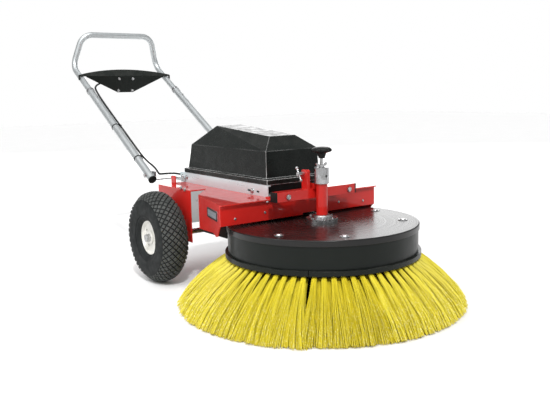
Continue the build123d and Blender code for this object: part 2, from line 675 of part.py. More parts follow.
# Dashboard: a folded plate between the tubes, with a control box behind it.
dash_at = (brush_y + 1398 - pivot_y) / cos(slope)
dash_y, dash_z = brush_y + 1402, 744.0
dash_half, dash_tip_half = handle_half - tube_r - 1.5, handle_half + tube_r + 3
plate_lean = radians(16)
face_out = Vector(0, -cos(plate_lean), -sin(plate_lean))
with BuildPart() as dash_panel:
    with BuildSketch(Plane((0, dash_y, dash_z), x_dir=(1, 0, 0), z_dir=face_out)):
        with BuildLine():
            Polyline((-dash_half, 0), (dash_half, 0), (dash_half - 4, -6), (38, -78),
                     (-38, -78), (-dash_half + 4, -6), (-dash_half, 0))
        make_face()
    extrude(amount=-3)
    with BuildSketch(Plane((0, dash_y, dash_z), x_dir=(1, 0, 0), z_dir=(0, -cos(radians(50)),
                                                                      sin(radians(50))))):
        with BuildLine():
            Line((-dash_tip_half, 0), (dash_tip_half, 0))
            Line((dash_tip_half, 0), (dash_tip_half, 8))
            ThreePointArc((dash_tip_half, 8), (0, 46), (-dash_tip_half, 8))
            Line((-dash_tip_half, 8), (-dash_tip_half, 0))
        make_face()
    extrude(amount=-3)
    for side in (-1, 1):
        a, b = sorted((side * (dash_tip_half - 2.7), side * dash_tip_half))
        box(a, b, dash_y, dash_y + 12, dash_z - 18, dash_z + 2)
save(dash_panel.part, "dash_panel")

dash_down = Vector(0, sin(plate_lean), -cos(plate_lean))
with BuildPart() as dash_bolts:
    for x in (-34, 34):
        for drop in (14, 69):
            spot = Vector(x, dash_y, dash_z) + dash_down * drop
            with BuildSketch(Plane(spot, z_dir=face_out)):
                Circle(7)
            extrude(amount=4, taper=25)
save(dash_bolts.part, "dash_bolts")

box_plane = Plane(Vector(0, dash_y, dash_z) - face_out * 3 + dash_down * 34,
                  x_dir=(-1, 0, 0), z_dir=face_out * -1)
with BuildPart() as control_box:
    with BuildSketch(box_plane):
        Rectangle(110, 54)
    extrude(amount=34)
    fillet(control_box.edges().filter_by(Axis(Vector(0, 0, 0), face_out)), 6)
    with BuildSketch(box_plane.offset(34)):
        with Locations((-32, 0)):
            Rectangle(24.6, 15.6)
    extrude(amount=-9, mode=Mode.SUBTRACT)
    with BuildSketch(box_plane.offset(34)):
        with Locations((30, 0)):
            Circle(3.05)
    extrude(amount=-14, mode=Mode.SUBTRACT)
save(control_box.part, "control_box")

with BuildPart() as rocker_switch:
    with BuildSketch(box_plane.offset(34 - 5)):
        with Locations((-32, 0)):
            Rectangle(22, 13)
    extrude(amount=9)
save(rocker_switch.part, "rocker_switch")

with BuildPart() as speed_dial:
    with BuildSketch(box_plane.offset(34 + gap)):
        with Locations((30, 0)):
            Circle(14)
            with PolarLocations(14, 12):
                Circle(1.6, mode=Mode.SUBTRACT)
    extrude(amount=13)
    with BuildSketch(box_plane.offset(34 - 12)):
        with Locations((30, 0)):
            Circle(3)
    extrude(amount=13)
save(speed_dial.part, "speed_dial")

# Control cable: out of the control box, down the left tube, then under the hood.
cable_r = 4.0
cable_x = -handle_half + lower_r + cable_r + 0.6
crossing_x = -166.0


def cable(points, factor=0.42):
    """Round cable through points, each corner as wide as its runs allow."""
    spots = [Vector(*p) for p in points]
    radii = []
    for before, at, after in zip(spots, spots[1:], spots[2:]):
        turn = radians((at - before).get_angle(after - at))
        shorter = min((at - before).length, (after - at).length)
        radii.append(factor * shorter / tan(turn / 2))
    print("cable radii", [round(r) for r in radii])
    with BuildPart() as body:
        with BuildLine() as path:
            FilletPolyline(*spots, radius=radii)
        with BuildSketch(Plane(spots[0], z_dir=spots[1] - spots[0])):
            Circle(cable_r)
        sweep(path=path.line)
    print("cable length", round(sum(e.length for e in path.edges())), "volume ratio",
          round(body.part.volume / (sum(e.length for e in path.edges()) * pi * cable_r ** 2), 4))
    return body.part


box_side = box_plane.origin - face_out * 17 + Vector(-55, 0, 0)
handle_run = [(box_side.X - 0.3, box_side.Y, box_side.Z),
              (box_side.X - 45, box_side.Y, box_side.Z),
              (box_side.X - 90, box_side.Y - 14, box_side.Z - 14),
              on_handle(cable_x, dash_at - 90, 4), on_handle(cable_x, 95, 7),
              on_handle(crossing_x, 44, 3), on_handle(crossing_x, 5)]
save(cable(handle_run), "cable_upper")

frame_run = [(crossing_x, pivot_y - 5, pivot_z), (crossing_x + 4, pivot_y - 36, pivot_z + 4),
             (crossing_x + 36, pivot_y - 64, pivot_z + 6),
             (-106, pivot_y - 102, pivot_z - 2), (-104, hood_back + 6, pivot_z - 6),
             (-100, hood_back - 40, pivot_z - 6), (-61, hood_back - 46, pivot_z - 6)]
save(cable(frame_run), "cable_lower")

with BuildPart() as cable_ties:
    for share in (0.15, 0.47):
        distance = dash_at * share
        lift = 7 - 3 * (distance - 95) / (dash_at - 185)
        middle = Vector(*on_handle(-handle_half, distance))
        beside = (cable_x + handle_half, -lift)
        with BuildSketch(Plane(middle, x_dir=(1, 0, 0), z_dir=(0, cos(slope), sin(slope)))):
            Circle(lower_r + 1.5)
            with Locations(beside):
                Circle(cable_r + 1.5)
            make_hull()
            Circle(lower_r, mode=Mode.SUBTRACT)
            with Locations(beside):
                Circle(cable_r + 0.3, mode=Mode.SUBTRACT)
        extrude(amount=4)
save(cable_ties.part, "cable_ties")
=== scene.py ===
import json
import random
from math import atan2, copysign, cos, pi, radians, sin

import bpy
from mathutils import Matrix, Vector


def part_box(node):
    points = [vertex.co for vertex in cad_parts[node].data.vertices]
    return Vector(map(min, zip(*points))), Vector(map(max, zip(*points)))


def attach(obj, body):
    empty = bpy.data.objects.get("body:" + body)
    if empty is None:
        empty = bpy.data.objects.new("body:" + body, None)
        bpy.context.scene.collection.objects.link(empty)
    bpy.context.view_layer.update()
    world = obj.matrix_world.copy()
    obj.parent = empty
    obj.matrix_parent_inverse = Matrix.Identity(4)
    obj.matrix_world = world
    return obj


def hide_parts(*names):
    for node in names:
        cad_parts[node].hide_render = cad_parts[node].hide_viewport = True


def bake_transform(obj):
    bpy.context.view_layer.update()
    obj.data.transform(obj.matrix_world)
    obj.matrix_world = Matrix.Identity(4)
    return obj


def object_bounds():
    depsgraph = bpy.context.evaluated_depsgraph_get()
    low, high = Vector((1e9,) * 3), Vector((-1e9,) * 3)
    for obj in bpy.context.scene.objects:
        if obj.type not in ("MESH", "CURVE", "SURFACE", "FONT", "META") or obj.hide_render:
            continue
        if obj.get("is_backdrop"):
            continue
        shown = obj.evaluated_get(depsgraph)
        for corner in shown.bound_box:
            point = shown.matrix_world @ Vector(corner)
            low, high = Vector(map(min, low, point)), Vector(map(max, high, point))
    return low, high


# Looks of the walk-behind sweeper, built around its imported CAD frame. Metres, +Z up,
# +Y towards the operator, +X across.
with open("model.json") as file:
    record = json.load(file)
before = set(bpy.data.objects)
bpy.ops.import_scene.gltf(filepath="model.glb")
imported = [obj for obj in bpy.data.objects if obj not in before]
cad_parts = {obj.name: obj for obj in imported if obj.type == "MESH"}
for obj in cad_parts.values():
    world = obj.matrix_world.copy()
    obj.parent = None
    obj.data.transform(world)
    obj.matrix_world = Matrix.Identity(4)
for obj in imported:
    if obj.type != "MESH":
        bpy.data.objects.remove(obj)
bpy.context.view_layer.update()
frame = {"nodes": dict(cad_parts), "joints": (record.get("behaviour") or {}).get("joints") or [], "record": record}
joints = {joint["name"]: joint for joint in frame["joints"]}

# ---------------------------------------------------------------- places from the frame
spindle_y = joints["brush_spin"]["pos_m"][1]
pivot_y, pivot_z = joints["handle_tilt"]["pos_m"][1:]
axle_y, axle_z = joints["wheel_left_spin"]["pos_m"][1:]
wheel_x = joints["wheel_right_spin"]["pos_m"][0]
backing_low, backing_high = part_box("segment_backings")
disc_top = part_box("brush_disc")[1].z
bumper_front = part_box("front_bumper")[0].y
tray_low, tray_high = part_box("battery_tray")
hood_low, hood_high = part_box("hood")
box_low, box_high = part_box("axle_box")
tyre_low, tyre_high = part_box("tyre_left")


# ---------------------------------------------------------------- materials
# Sockets of a Mix node that carry colours: two in, one out.
COLOUR_A, COLOUR_B, COLOUR_OUT = 6, 7, 2
SMOOTH_COAT, COAT_IOR = 0.03, 1.32


class Finish:
    """A procedural material, with short calls for the nodes that it is made of."""

    def __init__(self, name, metallic=0.0, coat=0.0, coat_roughness=0.1, specular=0.5):
        self.material = bpy.data.materials.new(name)
        self.material.use_nodes = True
        self.tree = self.material.node_tree
        self.shader = self.tree.nodes["Principled BSDF"]
        self.shader.inputs["Metallic"].default_value = metallic
        self.shader.inputs["Coat Weight"].default_value = coat
        self.shader.inputs["Coat Roughness"].default_value = coat_roughness
        self.shader.inputs["Specular IOR Level"].default_value = specular
        self.place = self.node("TexCoord").outputs["Object"]

    def node(self, kind, **settings):
        made = self.tree.nodes.new("ShaderNode" + kind)
        for key, value in settings.items():
            setattr(made, key, value)
        return made

    def feed(self, socket, value):
        if isinstance(value, bpy.types.NodeSocket):
            self.tree.links.new(value, socket)
        elif isinstance(value, tuple) and socket.type == "RGBA":
            socket.default_value = (*value, 1)
        else:
            socket.default_value = value

    def stretched(self, scale):
        mapping = self.node("Mapping")
        self.feed(mapping.inputs["Vector"], self.place)
        mapping.inputs["Scale"].default_value = scale
        return mapping.outputs["Vector"]

    def noise(self, scale, detail=3.0, stretch=(1, 1, 1), vector=None):
        """Soft noise, stretched by scale factors per axis, or along a vector that is given."""
        made = self.node("TexNoise")
        made.inputs["Scale"].default_value = scale
        made.inputs["Detail"].default_value = detail
        self.feed(made.inputs["Vector"], vector or self.stretched(stretch))
        return made.outputs["Fac"]

    def cells(self, scale, output="Distance"):
        """Random cells: the distance to each middle, or a colour for each."""
        made = self.node("TexVoronoi")
        made.inputs["Scale"].default_value = scale
        self.feed(made.inputs["Vector"], self.stretched((1, 1, 1)))
        return made.outputs[output]

    def span(self, value, low, high, to_low=0.0, to_high=1.0):
        """A value moved from one range to another, and held inside it."""
        made = self.node("MapRange")
        numbers = {"Value": value, "From Min": low, "From Max": high,
                   "To Min": to_low, "To Max": to_high}
        for name, number in numbers.items():
            self.feed(made.inputs[name], number)
        return made.outputs["Result"]

    def math(self, operation, first, second=0.0):
        made = self.node("Math", operation=operation)
        self.feed(made.inputs[0], first)
        self.feed(made.inputs[1], second)
        return made.outputs["Value"]

    def mix(self, share, first, second):
        made = self.node("Mix", data_type="RGBA")
        self.feed(made.inputs["Factor"], share)
        self.feed(made.inputs[COLOUR_A], first)
        self.feed(made.inputs[COLOUR_B], second)
        return made.outputs[COLOUR_OUT]

    def edges(self, radius, softness=0.12):
        """1 on the object's sharp edges, 0 on its flat faces."""
        rounded = self.node("Bevel", samples=4)
        rounded.inputs["Radius"].default_value = radius
        flat = self.node("NewGeometry")
        dot = self.node("VectorMath", operation="DOT_PRODUCT")
        self.feed(dot.inputs[0], rounded.outputs["Normal"])
        self.feed(dot.inputs[1], flat.outputs["Normal"])
        return self.span(dot.outputs["Value"], 1.0 - softness, 1.0, 1.0, 0.0)

    def upward(self):
        """1 on faces that look up, where dust settles."""
        normal = self.node("SeparateXYZ")
        self.feed(normal.inputs[0], self.node("NewGeometry").outputs["Normal"])
        return self.span(normal.outputs["Z"], 0.5, 0.95)

    def surface(self, colour, roughness):
        self.feed(self.shader.inputs["Base Color"], colour)
        self.feed(self.shader.inputs["Roughness"], roughness)

    def relief(self, height, depth, rounding=0.0):
        """Fine relief of a depth in metres, over edges rounded by a radius."""
        bump = self.node("Bump")
        bump.inputs["Distance"].default_value = depth
        self.feed(bump.inputs["Height"], height)
        if rounding:
            rounded = self.node("Bevel", samples=4)
            rounded.inputs["Radius"].default_value = rounding
            self.feed(bump.inputs["Normal"], rounded.outputs["Normal"])
        self.feed(self.shader.inputs["Normal"], bump.outputs["Normal"])
        return self.material


def paint(name, colour, worn, dust, roughness=0.16, coat=0.8, specular=0.5, film=0.35):
    """Sprayed enamel: slight drift of shade, orange peel, paler edges, thin dust."""
    f = Finish(name, coat=coat, coat_roughness=SMOOTH_COAT, specular=specular)
    f.shader.inputs["Coat IOR"].default_value = COAT_IOR
    deep = tuple(channel * 0.82 for channel in colour)
    shade = f.mix(f.span(f.noise(7, 4), 0.3, 0.7), deep, colour)
    chips = f.math("MULTIPLY", f.edges(0.0016), f.span(f.noise(90, 3), 0.52, 0.62))
    shade = f.mix(chips, shade, worn)
    dusty = f.math("MULTIPLY", f.upward(), f.span(f.noise(16, 6), 0.42, 0.8, 0.0, film))
    shade = f.mix(dusty, shade, dust)
    f.surface(shade, f.span(f.noise(24, 5), 0.3, 0.75, roughness, roughness + 0.14))
    return f.relief(f.noise(420, 2), 0.00002, 0.0014)


def galvanised(name, shade=0.52, grain=150):
    """Zinc plate: crystals of slightly different greys, dull patches."""
    f = Finish(name, metallic=1.0)
    crystals = f.node("SeparateColor")
    f.feed(crystals.inputs[0], f.cells(grain, "Color"))
    dark, pale = (shade * 0.7,) * 3, (shade * 1.2, shade * 1.21, shade * 1.24)
    colour = f.mix(crystals.outputs[0], dark, pale)
    stain = f.span(f.noise(30, 5), 0.55, 0.75, 0.0, 0.5)
    colour = f.mix(stain, colour, (0.34, 0.33, 0.31))
    f.surface(colour, f.span(crystals.outputs[1], 0, 1, 0.2, 0.42))
    return f.relief(f.noise(600, 3), 0.00001, 0.0008)


def brushed(name, shade, grain, roughness=0.3, metallic=1.0, smudges=0.25, depth=0.000004):
    """Drawn or rolled metal, with fine lines along the grain and dull smudges."""
    f = Finish(name, metallic=metallic)
    lines = f.noise(60, 4, grain)
    smudge = f.span(f.noise(17, 5), 0.45, 0.75)
    colour = f.mix(lines, tuple(c * 0.88 for c in shade), shade)
    colour = f.mix(f.math("MULTIPLY", smudge, smudges), colour, tuple(c * 0.6 for c in shade))
    base = f.span(lines, 0.3, 0.7, roughness - 0.05, roughness + 0.06)
    f.surface(colour, f.math("ADD", base, f.math("MULTIPLY", smudge, 0.1)))
    return f.relief(lines, depth, 0.0008)


def plastic(name, colour, roughness=0.4, grain=700, depth=0.00008, rounding=0.0012, painted_glint=0.0):
    """Moulded plastic with a fine leather grain, scuffed, and with a pale highlight painted along its edges to a
    given strength.
    """
    f = Finish(name, specular=0.2)
    pale = tuple(c * 1.4 + 0.002 for c in colour)
    shade = f.mix(f.span(f.noise(14, 6), 0.35, 0.75), colour, pale)
    scuffs = f.math("MULTIPLY", f.edges(0.002), f.span(f.noise(55, 4), 0.45, 0.7, 0.0, 0.4))
    shade = f.mix(scuffs, shade, tuple(c + 0.09 for c in colour))
    # Painted highlight: pale grey painted along the edges in place of light caught by rounded edges, as strong as
    # the glint value; it is not wear.
    edge_highlight = f.span(f.noise(9, 4), 0.35, 0.6, 0.15 * painted_glint, painted_glint)
    shade = f.mix(f.math("MULTIPLY", f.edges(0.002, 0.05), edge_highlight), shade, (0.8, 0.8, 0.8))
    dusty = f.math("MULTIPLY", f.upward(), f.span(f.noise(20, 6), 0.4, 0.8, 0.0, 0.05))
    shade = f.mix(dusty, shade, (0.42, 0.4, 0.36))
    f.surface(shade, f.span(f.noise(35, 5), 0.3, 0.7, roughness - 0.06, roughness + 0.12))
    return f.relief(f.cells(grain), depth, rounding)


def rubber(name, colour, roughness=0.62):
    """Dull rubber, greyed in patches, and dusty where an attribute says that it wears."""
    f = Finish(name, specular=0.2)
    grey = tuple(c * 1.7 + 0.004 for c in colour)
    shade = f.mix(f.span(f.noise(28, 6), 0.35, 0.7), colour, grey)
    wear = f.node("Attribute", attribute_name="wear").outputs["Fac"]
    dusty = f.math("MULTIPLY", wear, f.span(f.noise(45, 5), 0.25, 0.7, 0.45, 1.0))
    shade = f.mix(dusty, shade, (0.085, 0.09, 0.086))
    f.surface(shade, f.span(f.noise(60, 4), 0.3, 0.7, roughness - 0.08, roughness + 0.12))
    return f.relief(f.noise(500, 4), 0.00012, 0.0)


def turned_disc(name):
    """Black paint worn in rings about the spindle, as a hand or a rag leaves it."""
    f = Finish(name, specular=0.4)
    shift = f.node("Mapping")
    f.feed(shift.inputs["Vector"], f.place)
    shift.inputs["Location"].default_value = (0, -spindle_y, 0)
    shift.inputs["Scale"].default_value = (1, 1, 0)
    reach = f.node("VectorMath", operation="LENGTH")
    f.feed(reach.inputs[0], shift.outputs["Vector"])
    rings = f.node("CombineXYZ")
    f.feed(rings.inputs["X"], reach.outputs["Value"])
    lines = f.noise(150, 4, vector=rings.outputs["Vector"])
    patches = f.span(f.noise(6, 3), 0.42, 0.66)
    marks = f.math("MULTIPLY", f.span(lines, 0.5, 0.68), patches)
    shade = f.mix(marks, (0.006, 0.006, 0.006), (0.07, 0.066, 0.06))
    f.surface(shade, f.span(lines, 0.3, 0.7, 0.22, 0.33))
    return f.relief(lines, 0.000008, 0.0016)


def bristle(name):
    """Crimped nylon strands: each its own yellow, pale and speckled near the tips."""
    f = Finish(name, specular=0.4)
    tint = f.node("Attribute", attribute_name="tint").outputs["Fac"]
    along = f.node("Attribute", attribute_name="along").outputs["Fac"]
    shade = f.mix(tint, (0.58, 0.48, 0.014), (0.84, 0.74, 0.06))
    speckle = f.span(f.noise(170, 3), 0.52, 0.66)
    reach = f.span(along, 0.25, 0.95, 0.06, 0.7)
    pale = f.math("MULTIPLY", speckle, reach)
    shade = f.mix(pale, shade, (0.93, 0.88, 0.45))
    shade = f.mix(f.span(along, 0.93, 1.0, 0.0, 0.3), shade, (0.5, 0.38, 0.03))
    f.surface(shade, f.span(tint, 0, 1, 0.38, 0.55))
    return f.relief(f.noise(900, 2), 0.0001)


def label_plate(name):
    """Etched grey plate with plain ruled bands in place of any wording."""
    f = Finish(name, metallic=0.7)
    spot = f.node("SeparateXYZ")
    f.feed(spot.inputs[0], f.place)
    bands_per_metre = 130.0
    bands = f.math("FRACT", f.math("MULTIPLY", spot.outputs["Z"], bands_per_metre))
    lines = f.span(bands, 0.4, 0.5)
    brushed_grain = f.noise(80, 4, (1, 1, 14))
    shade = f.mix(brushed_grain, (0.30, 0.33, 0.36), (0.44, 0.47, 0.5))
    shade = f.mix(f.math("MULTIPLY", lines, 0.3), shade, (0.16, 0.17, 0.19))
    f.surface(shade, f.span(brushed_grain, 0.3, 0.7, 0.3, 0.45))
    return f.relief(lines, 0.0001, 0.0006)


def studio_floor(name):
    """Pale matt floor with a faint drift of shade."""
    f = Finish(name, specular=0.2)
    shade = f.mix(f.noise(3, 4), (0.86, 0.86, 0.86), (0.9, 0.9, 0.9))
    f.surface(shade, f.span(f.noise(8, 4), 0.3, 0.7, 0.6, 0.75))
    return f.relief(f.noise(300, 2), 0.0001)


finishes = {
    "red_paint": paint("red_paint", (0.66, 0.018, 0.013), (0.78, 0.14, 0.1), (0.7, 0.3, 0.27),
                       0.3, 1.0, 0.15, 0.03),
    "zinc_steel": galvanised("zinc_steel"),
    "handle_metal": brushed("handle_metal", (0.6, 0.63, 0.64), (3, 0.3, 0.3), 0.38, 0.8, 0.15),
    "tray_metal": brushed("tray_metal", (0.74, 0.9, 0.93), (1.5, 0.1, 1.5), 0.3, 0.35, 0.15,
                          0.000001),
    "rim_metal": paint("rim_metal", (0.82, 0.81, 0.76), (0.5, 0.48, 0.45), (0.6, 0.58, 0.52),
                       0.3, 0.2),
    "tyre_rubber": rubber("tyre_rubber", (0.009, 0.0105, 0.0105)),
    # The hood's finish carries a strong painted highlight along its edges.
    "hood_plastic": plastic("hood_plastic", (0.005, 0.0068, 0.006), 0.24, 700, 0.000006,
                            painted_glint=0.9),
    "black_plastic": plastic("black_plastic", (0.008, 0.0085, 0.008), 0.38),
    "black_paint": paint("black_paint", (0.0072, 0.0098, 0.0082), (0.07, 0.07, 0.07),
                         (0.1, 0.1, 0.09), 0.3, 0.05, 0.2),
    "bristle_yellow": bristle("bristle_yellow"),
    "cable_black": rubber("cable_black", (0.012, 0.013, 0.013), 0.45),
    "motor_grey": brushed("motor_grey", (0.3, 0.31, 0.32), (1, 1, 1), 0.45, 0.8),
    "plate_grey": label_plate("plate_grey"),
}
own_finishes = {
    "brush_disc": turned_disc("turned_disc"),
    "clamp_collar": galvanised("spangled_zinc", 0.46, 95),
}

for part in frame["record"]["subparts"]:
    node = frame["nodes"][part["node"]]
    finish = own_finishes.get(part["node"], finishes[part["material_slot"]])
    if not node.material_slots:
        node.data.materials.append(finish)
    for held in node.material_slots:
        held.material = finish


# ---------------------------------------------------------------- mesh helpers
def piece(name, points, faces, finish, body, replaced=(), smooth=True):
    """A finished mesh, riding on a body, standing for the CAD nodes named."""
    mesh = bpy.data.meshes.new(name)
    mesh.from_pydata(points, [], faces)
    mesh.validate()
    mesh.materials.append(finish)
    if smooth:
        mesh.shade_smooth()
    else:
        mesh.shade_flat()
    made = bpy.data.objects.new(name, mesh)
    bpy.context.scene.collection.objects.link(made)
    if body:
        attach(made, body)
    if replaced:
        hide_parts(*replaced)
    return made


def smooth_by_angle(made, degrees_limit):
    """Smooth faces, with the creases sharper than a given angle kept hard."""
    made.data.set_sharp_from_angle(angle=radians(degrees_limit))


def point_values(made, name, values):
    """A number for each point of a mesh, under a name that its finish reads."""
    layer = made.data.attributes.new(name, "FLOAT", "POINT")
    layer.data.foreach_set("value", values)


def round_edges(made, width, segments, angle):
    """Rounded edges wherever two faces meet at more than an angle in degrees."""
    bevel = made.modifiers.new("rounding", "BEVEL")
    bevel.width = width
    bevel.segments = segments
    bevel.limit_method = "ANGLE"
    bevel.angle_limit = radians(angle)
    bevel.harden_normals = True


class Shape:
    """Points and faces of one mesh, gathered piece by piece."""

    def __init__(self):
        self.points, self.faces = [], []

    def loft(self, rings, capped=True):
        """Skin over closed rings of points, each with the same number of points."""
        first = len(self.points)
        count = len(rings[0])
        for ring in rings:
            self.points += [Vector(point) for point in ring]
        for i in range(len(rings) - 1):
            for j in range(count):
                a, b = first + i * count + j, first + i * count + (j + 1) % count
                self.faces.append((a, b, b + count, a + count))
        if capped:
            self.faces.append(tuple(range(first + count - 1, first - 1, -1)))
            last = first + (len(rings) - 1) * count
            self.faces.append(tuple(range(last, last + count)))

    def turned(self, centre, axis, profile, sides):
        """Round body from (distance along the axis, radius) pairs."""
        axis = Vector(axis).normalized()
        across = axis.orthogonal().normalized()
        other = axis.cross(across)
        rings = []
        for along, radius in profile:
            rings.append([Vector(centre) + axis * along
                          + (across * cos(2 * pi * i / sides) + other * sin(2 * pi * i / sides))
                          * radius for i in range(sides)])
        self.loft(rings)

    def tube(self, path, radius_at, sides):
        """Round tube along a path, with a radius that depends on the length run."""
        run, across, rings = 0.0, None, []
        for i, point in enumerate(path):
            before, after = path[max(i - 1, 0)], path[min(i + 1, len(path) - 1)]
            direction = (after - before).normalized()
            if across is None:
                across = direction.orthogonal().normalized()
            across = (across - direction * across.dot(direction)).normalized()
            other = direction.cross(across)
            run += (point - before).length if i else 0.0
            size = radius_at(run)
            rings.append([point + (across * cos(2 * pi * k / sides)
                                   + other * sin(2 * pi * k / sides)) * size
                          for k in range(sides)])
        self.loft(rings)


def smooth_line(points, steps):
    """Points along the smooth curve that is drawn through a few given points."""
    padded = [points[0] * 2 - points[1], *points, points[-1] * 2 - points[-2]]
    line = []
    for a, b, c, d in zip(padded, padded[1:], padded[2:], padded[3:]):
        for i in range(steps):
            t = i / steps
            line.append((b * 2 + (c - a) * t + (a * 2 - b * 5 + c * 4 - d) * t ** 2
                         + (b * 3 - a - c * 3 + d) * t ** 3) * 0.5)
    return line + [points[-1]]


def nurbs_line(points, steps):
    """Points along the NURBS curve whose control points are given."""
    curve = bpy.data.curves.new("route", "CURVE")
    curve.dimensions = "3D"
    curve.resolution_u = steps
    spline = curve.splines.new("NURBS")
    spline.points.add(len(points) - 1)
    for control, point in zip(spline.points, points):
        control.co = (*point, 1)
    quadratic = 3
    spline.order_u = quadratic
    spline.use_endpoint_u = True
    holder = bpy.data.objects.new("route", curve)
    bpy.context.scene.collection.objects.link(holder)
    graph = bpy.context.evaluated_depsgraph_get()
    mesh = bpy.data.meshes.new_from_object(holder.evaluated_get(graph))
    line = [vertex.co.copy() for vertex in mesh.vertices]
    bpy.data.objects.remove(holder)
    bpy.data.meshes.remove(mesh)
    return line


# ---------------------------------------------------------------- camera, light and floor
def studio():
    """Camera at the photograph's angle, a pale floor and soft light from above."""
    scene = bpy.context.scene
    lens = bpy.data.cameras.new("camera")
    lens.sensor_width, lens.lens = 36.0, 45.8
    camera = bpy.data.objects.new("camera", lens)
    azimuth, elevation, roll = radians(-35.77), radians(9.3), radians(-1.24)
    turn = (Matrix.Rotation(azimuth, 3, "Z") @ Matrix.Rotation(pi / 2 - elevation, 3, "X")
            @ Matrix.Rotation(roll, 3, "Z"))
    camera.location = (-1.376, spindle_y - 1.66, 0.658)
    camera.rotation_euler = turn.to_euler()
    scene.collection.objects.link(camera)
    scene.camera = camera

    world = bpy.data.worlds.new("studio")
    world.use_nodes = True
    scene.world = world
    tree = world.node_tree
    sky = tree.nodes["Background"]
    sky.inputs["Color"].default_value = (1, 1, 1, 1)
    place = tree.nodes.new("ShaderNodeTexCoord")
    split = tree.nodes.new("ShaderNodeSeparateXYZ")
    ramp = tree.nodes.new("ShaderNodeMapRange")
    # The world lights more strongly from above, and shows itself as plain white.
    for end, value in (("From Min", -0.1), ("From Max", 0.9), ("To Min", 0.3), ("To Max", 0.5)):
        ramp.inputs[end].default_value = value
    seen = tree.nodes.new("ShaderNodeLightPath")
    pick = tree.nodes.new("ShaderNodeMix")
    pick.data_type = "FLOAT"
    pick.inputs["B"].default_value = 1.0
    tree.links.new(place.outputs["Generated"], split.inputs[0])
    tree.links.new(split.outputs["Z"], ramp.inputs["Value"])
    tree.links.new(seen.outputs["Is Camera Ray"], pick.inputs["Factor"])
    tree.links.new(ramp.outputs["Result"], pick.inputs["A"])
    tree.links.new(pick.outputs[0], sky.inputs["Strength"])

    def softbox(name, place, target, size, power):
        """Rectangular light of some watts at a place, aimed at a target."""
        light = bpy.data.lights.new(name, "AREA")
        light.shape = "RECTANGLE"
        light.size, light.size_y = size
        light.energy = power
        holder = bpy.data.objects.new(name, light)
        holder.location = place
        aim = Vector(target) - Vector(place)
        holder.rotation_euler = aim.to_track_quat("-Z", "Y").to_euler()
        holder.visible_camera = False
        scene.collection.objects.link(holder)

    def sun(name, direction, spread, power):
        """Distant light along a direction, as wide across as a spread in degrees."""
        light = bpy.data.lights.new(name, "SUN")
        light.energy = power
        light.angle = radians(spread)
        holder = bpy.data.objects.new(name, light)
        holder.rotation_euler = Vector(direction).to_track_quat("-Z", "Y").to_euler()
        scene.collection.objects.link(holder)

    softbox("key", (-1.9, spindle_y + 0.2, 1.6), (-0.2, -0.1, 0.35), (1.0, 1.6), 14)
    softbox("back", (3.2, 4.4, 1.5), (0, 0, 0.3), (5.0, 2.2), 80)
    sun("sky_glow", (0.34, 0.3, -0.88), 60, 1.3)
    sun("high_sun", (0.3, 0.58, -0.76), 5, 1.5)

    half = 14.0
    corners = [(-half, -half, 0), (half, -half, 0), (half, half, 0), (-half, half, 0)]
    floor = piece("floor", corners, [(0, 1, 2, 3)], studio_floor("floor"), None)
    floor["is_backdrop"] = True
    scene.view_settings.view_transform = "Standard"


studio()


